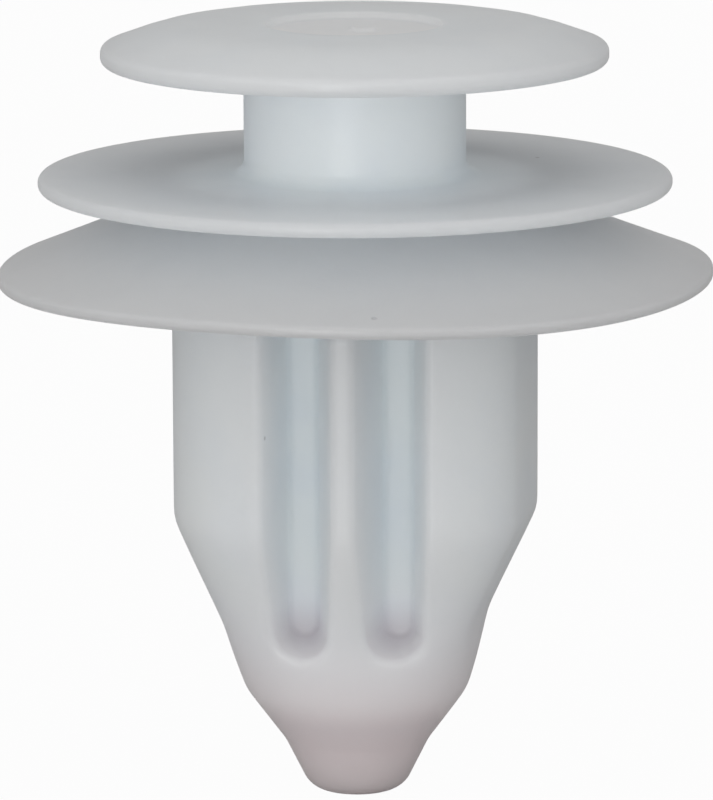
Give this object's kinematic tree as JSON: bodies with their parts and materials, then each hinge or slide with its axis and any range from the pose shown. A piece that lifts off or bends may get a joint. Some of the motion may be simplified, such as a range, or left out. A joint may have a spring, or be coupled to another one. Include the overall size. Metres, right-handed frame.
{
  "type": "trim clip",
  "caption": "Push-in trim clip of natural nylon: mushroom head, neck, flat flange, sprung sealing skirt and a fluted, flat-sided bullet shank that snaps into a panel hole.",
  "frame": {"origin": "middle of the panel seat: on the clip's axis, in the plane of the skirt's rim", "axes": "+Z along the axis towards the head, so the nose goes into the panel along -Z; -Y faces the pair of flutes that the picture shows, +Y the pair at the back, and +X is square to both"},
  "size_m": [0.02, 0.02, 0.0219],
  "materials": {
    "nylon": "satin, slightly see-through natural nylon"
  },
  "bodies": {
    "root": {"trim_clip": "nylon"}
  },
  "joints": []
}
